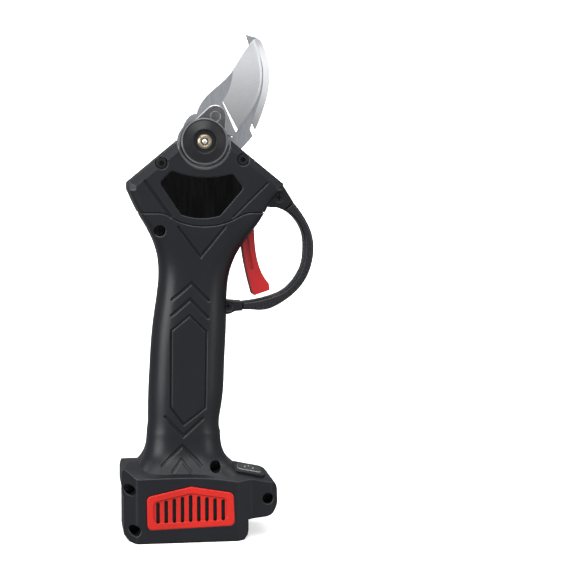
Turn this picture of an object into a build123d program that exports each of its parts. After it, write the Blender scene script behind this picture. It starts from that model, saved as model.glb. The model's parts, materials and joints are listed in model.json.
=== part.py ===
"""Battery electric pruner: bypass blades on a bevel-geared head, straight grip, slide-on battery foot.

Millimetres. +Z runs up from the battery foot to the blades, +X points to the trigger side, -Y is the front.
The origin is the middle of the flat underside of the foot.
"""

import math
import os

from build123d import *

os.makedirs("parts", exist_ok=True)

# ---------------------------------------------------------------- driving dimensions
WALL = 2.4  # moulded wall of every casing
SPLIT_GAP = 0.01  # half the gap between front and back shells
PIVOT_X, PIVOT_Z = 11.5, 220.5  # blade pivot, whose axis runs along Y
TILT = 3.6  # degrees that the grip and drive axis lean from vertical
HEAD_DEPTH = 21.0  # half thickness of the head
FOOT_DEPTH = 31.0  # half thickness of the foot
SEAM_Z = 181.3  # height of the head seam at its two ends
SEAM_GAP = 0.02
SEAM_LINE = 0.5  # width of the fine line moulded along each seam
RIDGE_R = 1.2  # rounding along the ridges of the head
DOCK_TOP, BAY_FLOOR = 10.8, 13.2  # roof of the battery dock and floor of the electronics bay above it

# layers along Y at the blade pivot, front to back
CAP_FRONT, CAP_R, RECESS_CAP_R = -24.0, 13.0, 14.2
PLATE_BACK, PLATE_T = -13.65, 1.9  # lock plate
BLADE_BACK, BLADE_T = -10.4, 3.2  # moving blade
HOOK_BACK, HOOK_T = -6.3, 4.0  # fixed blade
CASE_FRONT, CASE_BACK = -6.3, 12.0  # gear case boss
HUB_R, CASE_BOSS_R = 13.4, 12.6
HUB_SWEEP = 16.5  # furthest reach of the blade's lobe round the pivot
BOLT_R = 5.0
RUN = 0.04  # radial clearance of running fits

# drive train, distances along the drive axis from the blade pivot
BEVEL_MODULE = 1.25
PINION_TEETH, SECTOR_TEETH = 10, 36
BEVEL_RATIO = SECTOR_TEETH / PINION_TEETH
BEVEL_IN, BEVEL_OUT = 16.6, 22.5
SECTOR_START, SECTOR_END = -156.2, -89.0
GEAR_MODULE = 0.65
SUN_TEETH, PLANET_TEETH, RING_TEETH = 12, 15, 42
CARRIER_R = GEAR_MODULE * (SUN_TEETH + PLANET_TEETH) / 2
SHAFT_R, PIN_R = 4.0, 1.5
BEARING_AT, BEARING_T, BEARING_R, RACE_R = 27.5, 6.0, 9.5, 5.6
CARRIER_AT, CARRIER_T = 38.0, 3.0
GEAR_AT, GEAR_T = 41.3, 8.0
RING_AT, RING_END, RING_R = 36.5, 53.0, 16.0
MOTOR_AT, MOTOR_END, MOTOR_R = 53.0, 103.0, 15.0
ROTOR_R, AXLE_R = 8.6, 1.6

# trigger
TRIGGER_X, TRIGGER_Z, TRIGGER_HUB = 36.2, 178.5, 3.8
TRIGGER_HALF = 6.0
GUARD_HALF, EYE_HALF = 5.6, 2.4

# screws that close the shells: x, z and the depth of the recess floor in front of the middle plane
SHELL_SCREWS = [
    (-30.6, 29.0, 14.0),
    (-28.2, 7.2, 14.0),
    (46.2, 21.8, 14.0),
    (16.8, 40.5, 14.0),
    (-13.0, 171.5, 13.0),
]
HEAD_SCREWS = [(-12.0, 208.6), (33.0, 210.6)]
GUARD_SCREWS = [(55.0, 189.6), (26.0, 128.6)]
CASE_SCREWS = [(-5.5, 199.5), (26.5, 203.0)]
RECESS_R, SCREW_R, HEAD_SCREW_R = 3.1, 1.5, 3.3

tilt = math.radians(TILT)
DRIVE_DOWN = (-math.sin(tilt), 0, -math.cos(tilt))
DRIVE = Plane(origin=(PIVOT_X, 0, PIVOT_Z), x_dir=(0, -1, 0), z_dir=DRIVE_DOWN)


# ---------------------------------------------------------------- helpers
def facing_front(y):
    """Sketch plane at depth y: local x, y are X, Z, and extruding goes towards -Y."""
    return Plane.XZ.offset(-y)


def drive_plane(distance):
    """Sketch plane across the drive axis, that far below the blade pivot."""
    return DRIVE.offset(distance)


def drive_x(z):
    """X of the drive axis at height z."""
    return PIVOT_X - math.tan(tilt) * (PIVOT_Z - z)


def polar(radius, degrees):
    """Point at that radius and angle round the blade pivot, in X, Z."""
    a = math.radians(degrees)
    return (PIVOT_X + radius * math.cos(a), PIVOT_Z + radius * math.sin(a))


def save(part, name):
    """Labels the finished piece and writes its STEP file."""
    part.label = name
    export_step(part, f"parts/{name}.step")


def prism(points, y_back, y_front, rounding=0.0):
    """Solid from an X, Z outline between two depths."""
    with BuildPart() as solid:
        with BuildSketch(facing_front(y_back)) as outline:
            with BuildLine():
                Polyline(*points, close=True)
            make_face()
            if rounding:
                fillet(outline.vertices(), rounding)
        extrude(amount=y_back - y_front)
    return solid.part


def rod(x, z, radius, y_back, y_front):
    """Cylinder along Y between two depths."""
    with BuildPart() as solid:
        with BuildSketch(facing_front(y_back)):
            with Locations((x, z)):
                Circle(radius)
        extrude(amount=y_back - y_front)
    return solid.part


def barrel(radius, start, end):
    """Cylinder along the drive axis between two distances from the pivot."""
    with BuildPart() as solid:
        with BuildSketch(drive_plane(start)):
            Circle(radius)
        extrude(amount=end - start)
    return solid.part


def tube(radius, bore, start, end):
    """Hollow cylinder along the drive axis."""
    with BuildPart() as solid:
        with BuildSketch(drive_plane(start)):
            Circle(radius)
            Circle(bore, mode=Mode.SUBTRACT)
        extrude(amount=end - start)
    return solid.part


def half_space(front, gap=SPLIT_GAP):
    """Everything in front of, or behind, the middle plane."""
    y = -gap if front else 120
    with BuildPart() as solid:
        with BuildSketch(facing_front(y)):
            with Locations((10, 120)):
                Rectangle(300, 400)
        extrude(amount=120 - gap)
    return solid.part


# ---------------------------------------------------------------- casing forms
# grip sections at equal steps of height: left X, right X, half depth, corner radius
GRIP_FROM, GRIP_STEP = 58.0, 17.0
GRIP = [
    (-19.7, 21.5, 19.0, 15.5),
    (-18.9, 22.6, 18.8, 15.5),
    (-18.1, 23.8, 18.8, 15.5),
    (-17.0, 24.6, 18.8, 15.5),
    (-15.0, 25.2, 18.8, 15.3),
    (-12.7, 26.0, 18.9, 14.5),
    (-13.8, 31.6, 19.6, 12.0),
    (-21.4, 43.1, 20.8, 7.5),
    (-29.8, 55.6, 21.0, 5.0),
]
FLARE_FROM, FLARE_STEP = 34.0, 4.0
FLARE = [
    (-31.0, 34.0, 29.6, 15.0),
    (-27.0, 29.5, 26.4, 15.0),
    (-23.8, 25.8, 23.2, 15.0),
    (-21.6, 23.4, 21.0, 15.2),
    (-20.4, 22.1, 19.8, 15.4),
    (-19.9, 21.6, 19.2, 15.5),
    (-19.7, 21.5, 19.0, 15.5),
]
HEAD_OUTLINE = [(-1.4, 221.8), (-29.9, 198.2), (-29.9, 188.0), (55.6, 188.0), (55.9, 197.4), (25.9, 221.8)]
HEAD_CHAMFER, HEAD_CHAMFER_IN = 4.0, 4.6
CORNER_R = 4.6
FOOT_TOP = [(-36, 41.2), (-21, 41.4), (-6, 41.6), (9, 41.2), (24, 39.4), (39, 36.2), (54, 31.8)]
FOOT_SAG = 6.6


def seam_curve(z):
    """Points of the seam's dip, which leaves and rejoins height z."""
    return [(-14, z), (-5.5, z - 3.3), (10, z - 7.3), (26, z - 4.4), (37, z)]


def seam_prism(upper):
    """Everything above, or below, the curved seam between head and grip."""
    edge = 260.0 if upper else -60.0
    z = SEAM_Z + (SEAM_GAP / 2 if upper else -SEAM_GAP / 2)
    with BuildPart() as solid:
        with BuildSketch(facing_front(60)):
            with BuildLine():
                Line((-80, z), (-14, z))
                Spline(*seam_curve(z), tangents=((1, 0), (1, 0.1)))
                Polyline((37, z), (110, z), (110, edge), (-80, edge), (-80, z))
            make_face()
        extrude(amount=120)
    return solid.part


def lofted(sections, start, step, inset):
    """Smooth body through rounded rectangles stacked at equal steps of height."""
    with BuildPart() as body:
        for i, (left, right, depth, corner) in enumerate(sections):
            with BuildSketch(Plane.XY.offset(start + i * step)):
                with Locations(((left + right) / 2, 0)):
                    radius = max(corner - inset, 1.5)
                    RectangleRounded(right - left - 2 * inset, 2 * (depth - inset), radius)
        loft()
    return body.part


def head_block(inset):
    """Upper part of the head, a six-sided outline with chamfered rims."""
    with BuildPart() as block:
        with BuildSketch(facing_front(HEAD_DEPTH - inset)) as outline:
            with BuildLine():
                Polyline(*HEAD_OUTLINE, close=True)
            make_face()
            if inset:
                offset(amount=-inset, kind=Kind.INTERSECTION)
            corners = outline.vertices().sort_by(Axis.X)
            wide = [v for v in corners if v.Z > 192 and v.Z < 205]
            fillet(wide, CORNER_R)
        extrude(amount=2 * (HEAD_DEPTH - inset))
        rims = block.faces().sort_by(Axis.Y)
        chamfer(rims[0].edges() + rims[-1].edges(), HEAD_CHAMFER)
    with BuildPart() as upper:
        add(block.part)
        with BuildSketch(Plane.XY.offset(194)):
            Rectangle(200, 100)
        extrude(amount=60, mode=Mode.INTERSECT)
        if not inset:
            level = HEAD_DEPTH - HEAD_CHAMFER
            sharp = upper.edges().filter_by(lambda e: e.center().Z > 194.5)
            fillet(sharp.filter_by(lambda e: abs(abs(e.center().Y) - HEAD_DEPTH) < 0.01), RIDGE_R)
            sharp = upper.edges().filter_by(lambda e: e.center().Z > 194.5)
            fillet(sharp.filter_by(lambda e: abs(abs(e.center().Y) - level) < 0.01), RIDGE_R)
    return upper.part


def foot_crown(drop):
    """Crowned body whose top slopes down towards the front, the back and the right end."""
    with BuildPart() as crown:
        for x, top in FOOT_TOP:
            with BuildSketch(Plane.YZ.offset(x)):
                with BuildLine():
                    low = top - FOOT_SAG - drop
                    ThreePointArc((-34, low), (0, top - drop), (34, low))
                    Polyline((34, low), (34, -5), (-34, -5), (-34, low))
                make_face()
        loft()
    return crown.part


def foot_form(inset, floor):
    """The battery foot: side outline, plan outline and crowned top crossed with one another."""
    with BuildPart() as form:
        with BuildSketch(facing_front(FOOT_DEPTH - inset)):
            with BuildLine():
                Polyline((-31.0, 0), (32.2, 0), (34.4, 2.4), (36.2, 10.9), (44.0, 11.5))
                ThreePointArc((44.0, 11.5), (49.6, 13.7), (52.4, 19.0))
                Line((52.4, 19.0), (52.1, 26.0))
                ThreePointArc((52.1, 26.0), (50.4, 30.4), (46.5, 33.2))
                Polyline((46.5, 33.2), (44, 46), (-27, 46), (-29.5, 41.4))
                ThreePointArc((-29.5, 41.4), (-33.2, 39.8), (-34.8, 36.0))
                Polyline((-34.8, 36.0), (-34.8, 29.0), (-33.8, 24.0), (-33.8, 2.8), (-31.0, 0))
            make_face()
            if inset:
                offset(amount=-inset)
        extrude(amount=2 * (FOOT_DEPTH - inset))
        with BuildSketch(Plane.XY.offset(floor)) as plan:
            with BuildLine():
                half = [(-36, 12), (-27.4, FOOT_DEPTH), (28.5, FOOT_DEPTH), (37, 24.4)]
                half += [(48.5, 22.8), (54, 15.5)]
                Polyline(*half, *[(x, -y) for x, y in reversed(half)], close=True)
            make_face()
            fillet(plan.vertices().filter_by(lambda v: -30 < v.X < 50), 2.5)
            if inset:
                offset(amount=-inset)
        extrude(amount=60, mode=Mode.INTERSECT)
        add(foot_crown(inset), mode=Mode.INTERSECT)
    return form.part


def whole_form(inset, floor=0.0):
    """The casing as one solid form, with every wall moved in by inset."""
    with BuildPart() as form:
        add(lofted(GRIP, GRIP_FROM, GRIP_STEP, inset))
        add(lofted(FLARE, FLARE_FROM, FLARE_STEP, inset))
        add(head_block(inset))
        add(foot_form(inset, floor))
    return form.part


# ---------------------------------------------------------------- casing details
GROOVE_DEPTH = 0.8


def stroke(points, width, y_back=60.0, y_front=-60.0):
    """Round-ended groove tool of that width along a line of X, Z points, right through the grip."""
    with BuildPart() as tool:
        with BuildSketch(facing_front(y_back)):
            with BuildLine():
                Polyline(*points)
            trace(line_width=width)
            with Locations(points[0], points[-1]):
                Circle(width / 2)
        extrude(amount=y_back - y_front)
    return tool.part


def chevron(apex, left, right):
    """Groove tool of one arrow mark on the grip."""
    return stroke([left, apex, right], 1.7)


def seam_lines():
    """Tools for the fine lines along the curved head seam and the straight split between front and back."""
    with BuildPart() as tool:
        with BuildSketch(facing_front(60)):
            with BuildLine():
                Line((-60, SEAM_Z), (-14, SEAM_Z))
                Spline(*seam_curve(SEAM_Z), tangents=((1, 0), (1, 0.1)))
                Line((37, SEAM_Z), (80, SEAM_Z))
            trace(line_width=SEAM_LINE)
        extrude(amount=120)
    with BuildPart() as split:
        with Locations((10, 0, 120)):
            Box(200, SEAM_LINE, 300)
    return [tool.part, split.part]


def grip_grooves():
    """Arrow marks, the long panel outline and the V below the seam."""
    tools = [
        chevron((4.4, 142.6), (-6.2, 133.3), (13.8, 132.6)),
        chevron((3.6, 133.6), (-6.6, 124.5), (13.4, 123.1)),
        chevron((-0.6, 57.3), (-10.3, 68.1), (10.1, 66.8)),
        chevron((-1.2, 52.0), (-12.6, 41.6), (9.1, 41.2)),
        chevron((-2.0, 44.4), (-6.9, 38.6), (3.4, 38.0)),
        stroke([(-3.0, 173.6), (9.4, 157.1), (22.8, 173.6)], 1.3),
    ]
    panel = [(3.3, 124.7), (12.6, 115.4), (11.8, 72.9), (-0.4, 63.7), (-7.4, 73.3), (-6.9, 116.2)]
    tools.append(stroke(panel + panel[:2], 1.1))
    return tools


def head_grooves():
    """The two straight grooves that run down the head."""
    left = [(-21.0, 198.6), (-7.2, 179.3)]
    right = [(46.4, 197.6), (27.2, 178.9)]
    return [stroke(left, 1.7), stroke(right, 0.9)]


def window_outline(gap):
    """Outline of the glossy head window, shrunk by gap."""
    with BuildSketch(facing_front(-HEAD_DEPTH + 1.2)) as window:
        with BuildLine():
            ThreePointArc((-6.6, 204.9), (10.4, 201.1), (27.2, 203.2))
            Polyline((27.2, 203.2), (33.3, 195.0), (20.3, 179.9))
            ThreePointArc((20.3, 179.9), (9.5, 178.3), (-1.6, 180.4))
            Polyline((-1.6, 180.4), (-13.5, 198.0), (-6.6, 204.9))
        make_face()
        fillet(window.vertices(), 2.2)
        if gap:
            offset(amount=-gap)
    return window.sketch


def vent_points():
    """Corners of the red side insert."""
    return [(-21.6, 7.6), (26.7, 8.9), (26.0, 27.2), (2.5, 31.4), (-21.9, 26.2)]


def insert_shape(y_face, depth, shrink):
    """Block with the side insert's outline, from y_face inwards."""
    with BuildPart() as block:
        with BuildSketch(facing_front(y_face + depth)) as outline:
            with BuildLine():
                Polyline(*vent_points(), close=True)
            make_face()
            offset(amount=-shrink, kind=Kind.INTERSECTION)
            fillet(outline.vertices().filter_by(lambda v: v.Z < 29.5), 2.9)
        extrude(amount=depth)
    return block.part


LUG_HALF = 6.5
LUG_TOP = [(46.0, 186.0), (50.2, 184.0), (55.0, 183.9), (58.0, 182.7)]
LUG_TOP += [(63.1, 187.1), (57.4, 196.2), (50.0, 196.2)]
LUG_LOW = [(22.4, 124.0), (26.0, 123.9), (30.2, 125.7), (34.0, 125.9)]
LUG_LOW += [(34.0, 131.0), (24.0, 132.0), (22.4, 131.5)]
EYE_TOP = [(52.9, 187.4), (58.0, 182.7), (63.1, 187.1), (57.0, 192.4)]
EYE_LOW = [(26.0, 126.0), (34.5, 126.0), (34.5, 130.9), (26.0, 131.2)]


def eye_shape(corners, screw, grow, half):
    """Flat tongue of the guard round one of its screws."""
    with BuildPart() as eye:
        with BuildSketch(facing_front(half)):
            with BuildLine():
                Polyline(*corners, close=True)
            make_face()
            with Locations(screw):
                Circle(3.1)
            if grow:
                offset(amount=grow, kind=Kind.INTERSECTION)
        extrude(amount=2 * half)
    return eye.part


SWITCH = Plane(origin=(36.4, -12.2, 36.0), x_dir=(0.97, 0, -0.2), z_dir=(0.2, -0.15, 0.97))


def pad(width, depth, radius, low, high):
    """Rounded block square to the sloping face under the power switch."""
    with BuildPart() as block:
        with BuildSketch(SWITCH.offset(low)):
            RectangleRounded(width, depth, radius)
        extrude(amount=high - low)
    return block.part


def screw_bosses():
    """Posts that carry the screws, trigger pin and gear case, before they are trimmed to the casing."""
    posts = []
    for x, z, floor in SHELL_SCREWS:
        posts.append(rod(x, z, RECESS_R + 1.5, 1.6 - floor, -45))
        posts.append(rod(x, z, 3.3, 45, -floor))
    for x, z in HEAD_SCREWS:
        posts.append(rod(x, z, 5.0, -15.0, -30))
        posts.append(rod(x, z, HEAD_SCREW_R, 30, -15.2))
    for side in (-1, 1):
        posts.append(rod(TRIGGER_X, TRIGGER_Z, 3.2, max(side * 25, side * 6.4), min(side * 25, side * 6.4)))
    for x, z in CASE_SCREWS:
        posts.append(rod(x, z, 3.3, 30, CASE_BACK + 0.05))
    return posts


def screw_holes():
    """Recesses, clearance holes and thread holes for every casing screw."""
    holes = []
    for x, z, floor in SHELL_SCREWS:
        holes.append(rod(x, z, RECESS_R, -floor, -50))
        holes.append(rod(x, z, SCREW_R + 0.15, 0, -floor))
        holes.append(rod(x, z, SCREW_R, 10, 0))
    for x, z in HEAD_SCREWS:
        holes.append(rod(x, z, 3.45, -16.6, -50))
        holes.append(rod(x, z, SCREW_R + 0.15, 0, -16.6))
        holes.append(rod(x, z, SCREW_R, 14, 0))
    for x, z in GUARD_SCREWS:
        holes.append(rod(x, z, 2.7, -4.6, -12))
        holes.append(rod(x, z, SCREW_R, 5.2, -4.6))
    for x, z in CASE_SCREWS:
        holes.append(rod(x, z, SCREW_R, 17.5, CASE_BACK))
    holes.append(rod(TRIGGER_X, TRIGGER_Z, 1.5, 9.0, -9.0))
    return holes


def dock_cut():
    """Space for the battery's tongue, open to the right, with a rail left along each side."""
    with BuildPart() as dock:
        with Locations((18.25, 0, (DOCK_TOP - 1) / 2)):
            Box(83.5, 52, DOCK_TOP + 1)
        for side in (-1, 1):
            with Locations((3.0, side * 25.0, 3.9)):
                Box(54, 4, 3.4, mode=Mode.SUBTRACT)
        with Locations((-16.5, 0, (DOCK_TOP + BAY_FLOOR) / 2)):
            Box(8, 24, BAY_FLOOR - DOCK_TOP + 0.2)
    return dock.part


def pivot_cuts():
    """Room for the cap, hub, bolt head and fixed blade at the top of the head."""
    cap = rod(PIVOT_X, PIVOT_Z, RECESS_CAP_R, -15.9, -30)
    rim = rod(PIVOT_X, PIVOT_Z, RECESS_CAP_R + 0.9, -HEAD_DEPTH + 0.6, -30)
    hub = rod(PIVOT_X, PIVOT_Z, HUB_SWEEP + 0.5, -1.6, -15.9)
    boss = rod(PIVOT_X, PIVOT_Z, CASE_BOSS_R + 0.5, CASE_BACK + 0.3, -1.7)
    bolt = rod(PIVOT_X, PIVOT_Z, 9.4, 30, CASE_BACK)
    heel = prism([(22, 210), (34.6, 212.5), (44, 222), (36, 230), (22, 230)], -5.9, -10.7)
    return [cap, rim, hub, boss, bolt, heel]


def casing(outer, inner, skin):
    """Hollow casing with its posts, lugs, pockets, grooves and openings."""
    with BuildPart() as posts:
        for post in screw_bosses():
            add(post)
        add(outer, mode=Mode.INTERSECT)
    with BuildPart() as grooves:
        for tool in grip_grooves() + head_grooves() + seam_lines():
            add(tool)
        add(skin, mode=Mode.SUBTRACT)
    with BuildPart() as body:
        add(outer)
        add(inner, mode=Mode.SUBTRACT)
        add(posts.part)
        add(prism(LUG_TOP, LUG_HALF, -LUG_HALF))
        add(prism(LUG_LOW, LUG_HALF, -LUG_HALF))
        add(eye_shape(EYE_TOP, GUARD_SCREWS[0], 0.12, EYE_HALF + 0.1), mode=Mode.SUBTRACT)
        add(eye_shape(EYE_LOW, GUARD_SCREWS[1], 0.12, EYE_HALF + 0.1), mode=Mode.SUBTRACT)
        for cut in screw_holes() + pivot_cuts():
            add(cut, mode=Mode.SUBTRACT)
        slot = [(25.5, 153.5), (31.5, 153.5), (49.0, 176.4), (37.0, 176.4), (25.5, 161.0)]
        add(prism(slot, TRIGGER_HALF + 0.5, -TRIGGER_HALF - 0.5), mode=Mode.SUBTRACT)
        add(pad(14.4, 11.4, 2.6, -6, 6), mode=Mode.SUBTRACT)
        add(pad(19.1, 16.1, 4.25, -1.6, 6), mode=Mode.SUBTRACT)
        add(dock_cut(), mode=Mode.SUBTRACT)
        add(insert_shape(-FOOT_DEPTH - 2, 3.4, 0), mode=Mode.SUBTRACT)
        add(insert_shape(FOOT_DEPTH - 1.4, 3.4, 0), mode=Mode.SUBTRACT)
        add(extrude(window_outline(0), amount=3, mode=Mode.PRIVATE), mode=Mode.SUBTRACT)
        add(grooves.part, mode=Mode.SUBTRACT)
    return body.part


def make_casing():
    """Front and back head covers and front and back handle shells."""
    body = casing(whole_form(0), whole_form(WALL, BAY_FLOOR), whole_form(GROOVE_DEPTH))
    for upper, name in ((True, "head_cover"), (False, "handle_shell")):
        for front, side in ((True, "front"), (False, "back")):
            with BuildPart() as shell:
                add(body)
                add(seam_prism(upper), mode=Mode.INTERSECT)
                add(half_space(front), mode=Mode.INTERSECT)
            pieces = shell.part.solids().sort_by(SortBy.VOLUME)
            save(Part([pieces[-1]]), f"{name}_{side}")


def make_trims():
    """Window, side inserts and power switch parts."""
    with BuildPart() as window:
        extrude(window_outline(0.06), amount=1.15)
    save(window.part, "window_panel")
    for front, name in ((True, "side_insert_front"), (False, "side_insert_back")):
        face = -FOOT_DEPTH - 0.9 if front else FOOT_DEPTH - 1.4
        well = -FOOT_DEPTH - 2.0 if front else FOOT_DEPTH + 0.3
        with BuildPart() as insert:
            add(insert_shape(face, 2.3, 0.08))
            rim = insert.faces().sort_by(Axis.Y)[0 if front else -1]
            fillet(rim.edges(), 0.6)
            add(insert_shape(well, 1.7, 3.6), mode=Mode.SUBTRACT)
            for i in range(9):
                x = -15.7 + 4.49 * i
                top = 26.3 - (0.92 * (4 - i) if i < 4 else 0.76 * (i - 4))
                tip = 12.2 + 0.09 * i
                middle = -FOOT_DEPTH if front else FOOT_DEPTH
                add(stroke([(x, tip), (x, top - 0.6)], 2.0, middle + 5, middle - 5), mode=Mode.SUBTRACT)
        save(insert.part, name)


def make_power_switch():
    """Raised bezel, push key with a plain on/off mark and the switch below it."""
    with BuildPart() as bezel:
        add(pad(19.0, 16.0, 4.2, -1.6, 1.7))
        fillet(bezel.faces().sort_by(Axis.Z)[-1].edges(), 0.8)
        add(pad(14.0, 11.0, 2.4, -3, 4), mode=Mode.SUBTRACT)
    save(bezel.part, "power_bezel")
    with BuildPart() as key:
        add(pad(13.4, 10.4, 2.1, -2.0, 2.0))
        fillet(key.faces().sort_by(Axis.Z)[-1].edges(), 0.5)
        with BuildSketch(SWITCH.offset(1.7)):
            Circle(2.9)
            Circle(2.2, mode=Mode.SUBTRACT)
            with Locations((0, 2.5)):
                Rectangle(2.2, 2.4, mode=Mode.SUBTRACT)
            with Locations((0, 2.2)):
                Rectangle(0.7, 2.8)
        extrude(amount=2, mode=Mode.SUBTRACT)
    save(key.part, "power_key")
    with BuildPart() as switch:
        add(pad(11.0, 9.0, 0.5, -9.0, -4.6))
        add(pad(3.4, 3.4, 1.2, -4.6, -3.0))
    save(switch.part, "power_switch")


# ---------------------------------------------------------------- blades and pivot
EDGE = [(31.4, 226.8), (35.3, 232.2), (39.2, 238.3), (43.1, 246.6)]
EDGE += [(44.8, 254.9), (44.5, 263.5), (40.8, 277.7)]
GRIND = [(22.6, 243.4), (24.8, 247.1), (26.5, 251.4), (27.5, 255.4)]
GRIND += [(28.0, 260.0), (27.6, 268.0), (25.6, 279.0)]
LOBE = [(8.0, 235.9), (5.3, 235.4), (3.2, 233.3), (1.75, 230.9)]
LOBE += [(0.55, 228.4), (-0.9, 224.5), (-1.8, 220.5)]
SPINE = [(40.8, 277.7), (37.3, 273.9), (32.5, 266.9), (28.0, 259.7)]
SPINE += [(17.3, 249.2), (12.3, 244.2), (9.6, 240.0), (8.0, 235.6)]


def extended(points, first, last):
    """The same run of points with its two ends pushed straight on by the amounts given."""
    out = list(points)
    for end, near, amount in ((0, 1, first), (-1, -2, last)):
        dx, dz = points[end][0] - points[near][0], points[end][1] - points[near][1]
        size = math.hypot(dx, dz)
        out[end] = (points[end][0] + dx / size * amount, points[end][1] + dz / size * amount)
    return out


def moved_in(points, amount):
    """The same run of points moved sideways, to the left of its direction of travel."""
    out = []
    for i, (x, z) in enumerate(points):
        a, b = points[max(i - 1, 0)], points[min(i + 1, len(points) - 1)]
        size = math.hypot(b[0] - a[0], b[1] - a[1])
        out.append((x - (b[1] - a[1]) / size * amount, z + (b[0] - a[0]) / size * amount))
    return out


def grind_tool(front_run, y_front, back_run, y_back, far):
    """Grinding wedge between a curve on one plane and a curve on another, reaching out to far."""
    with BuildPart() as tool:
        for run, y in ((back_run, y_back), (front_run, y_front)):
            with BuildSketch(facing_front(y)):
                with BuildLine():
                    Spline(*run)
                    Polyline(run[-1], far[1], far[0], run[0])
                make_face()
        loft(ruled=True)
    return tool.part


def make_moving_blade():
    """Bypass blade with its hub, drive sector plate, ground face, fine edge and relief slot."""
    front = BLADE_BACK - BLADE_T
    with BuildPart() as blade:
        with BuildSketch(facing_front(BLADE_BACK)):
            with BuildLine():
                Spline(*EDGE)
                Spline(*SPINE[:4])
                Spline(*SPINE[3:])
                Line(SPINE[-1], (PIVOT_X, PIVOT_Z + 8))
                Line((PIVOT_X, PIVOT_Z + 8), (28.6, 223.4))
                Line((28.6, 223.4), (29.7, 225.7))
                Polyline((29.7, 225.7), (22.4, 242.6), (22.6, 243.4), EDGE[0])
            make_face()
            with Locations((PIVOT_X, PIVOT_Z)):
                Circle(HUB_R)
            with BuildLine():
                Spline(*LOBE)
                Polyline(LOBE[-1], (PIVOT_X, PIVOT_Z), LOBE[0])
            make_face()
            with BuildLine():
                Line((PIVOT_X, PIVOT_Z), polar(BEVEL_OUT, SECTOR_START))
                middle = (SECTOR_START + SECTOR_END) / 2
                ThreePointArc(*[polar(BEVEL_OUT, angle) for angle in (SECTOR_START, middle, SECTOR_END)])
                Line(polar(BEVEL_OUT, SECTOR_END), (PIVOT_X, PIVOT_Z))
            make_face()
        extrude(amount=BLADE_T)
        run = extended(GRIND, 1.0, 3.0)
        edge = extended(moved_in(EDGE, -0.5), 1.0, 3.0)
        face = grind_tool(run, front - 0.02, edge, BLADE_BACK - 0.8, ((45, 195), (60, 285)))
        add(face, mode=Mode.SUBTRACT)
        fine = extended(moved_in(EDGE, 4.2), 0.2, 3.0)
        wide = extended(moved_in(EDGE, -0.5), 0.2, 3.0)
        honed = grind_tool(fine, front - 0.02, wide, BLADE_BACK + 0.2, ((60, 222), (60, 290)))
        add(honed, mode=Mode.SUBTRACT)
        add(rod(PIVOT_X, PIVOT_Z, BOLT_R, 0, -30), mode=Mode.SUBTRACT)
        add(rod(*LOCK_PIN, LOCK_PIN_R, BLADE_BACK - 0.8, -30), mode=Mode.SUBTRACT)
    save(blade.part.solids().sort_by(SortBy.VOLUME)[-1], "moving_blade")


LOCK_PIN, LOCK_PIN_R = (18.2, 234.6), 3.0
HOOK_OUT = [(41.2, 227.2), (44.2, 233.8), (46.4, 240.1), (48.7, 248.5)]
HOOK_OUT += [(49.5, 256.5), (49.1, 263.2), (47.6, 269.4)]
HOOK_TOP = [(47.6, 269.4), (45.9, 274.6), (44.0, 277.3), (40.8, 278.6), (36.2, 279.9)]
HOOK_IN = [(36.2, 279.9), (37.9, 274.4), (40.3, 266.0), (41.0, 257.5)]
HOOK_IN += [(39.7, 249.5), (36.6, 240.5), (33.4, 232.6), (31.5, 227.4)]


def make_fixed_blade():
    """Hook-shaped counter blade with its outer bevel, choil notch and heel."""
    front = HOOK_BACK - HOOK_T
    with BuildPart() as hook:
        with BuildSketch(facing_front(HOOK_BACK)):
            with BuildLine():
                Spline(*HOOK_OUT)
                Spline(*HOOK_TOP)
                Spline(*HOOK_IN)
                Polyline(HOOK_IN[-1], (28.2, 222.9), (25.0, 226.0), (PIVOT_X, PIVOT_Z + 12))
                Line((PIVOT_X, PIVOT_Z + 12), (PIVOT_X, PIVOT_Z - 8))
                Polyline((PIVOT_X, PIVOT_Z - 8), (28.6, 214.6), (33.6, 217.0), (39.6, 223.7), (38.1, 227.6))
                Polyline((38.1, 227.6), (39.4, 231.6), HOOK_OUT[0])
            make_face()
            with Locations((PIVOT_X, PIVOT_Z)):
                Circle(HUB_R)
            with BuildLine():
                Spline(*LOBE)
                Polyline(LOBE[-1], (PIVOT_X, PIVOT_Z), LOBE[0])
            make_face()
            with BuildLine():
                left, right = (PIVOT_X - 16, PIVOT_Z - 2), (PIVOT_X + 16, PIVOT_Z - 2)
                ThreePointArc(left, (PIVOT_X, PIVOT_Z - 16.1), right)
                Line(right, left)
            make_face()
        extrude(amount=HOOK_T)
        rim = HOOK_OUT + HOOK_TOP[1:3]
        run = extended(moved_in(rim, -0.5), 2.0, 2.0)
        inner = extended(moved_in(rim, 4.0), 2.0, 2.0)
        face = grind_tool(inner, front - 0.02, run, HOOK_BACK - 0.8, ((70, 215), (70, 295)))
        add(face, mode=Mode.SUBTRACT)
        add(rod(PIVOT_X, PIVOT_Z, BOLT_R + RUN, 0, -30), mode=Mode.SUBTRACT)
        for x, z in BLADE_SCREWS:
            add(rod(x, z, SCREW_R, 0, HOOK_BACK - 3.2), mode=Mode.SUBTRACT)
    save(hook.part, "fixed_blade")


BLADE_SCREWS = [polar(10.4, a) for a in (90, 210, 330)]


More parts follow.
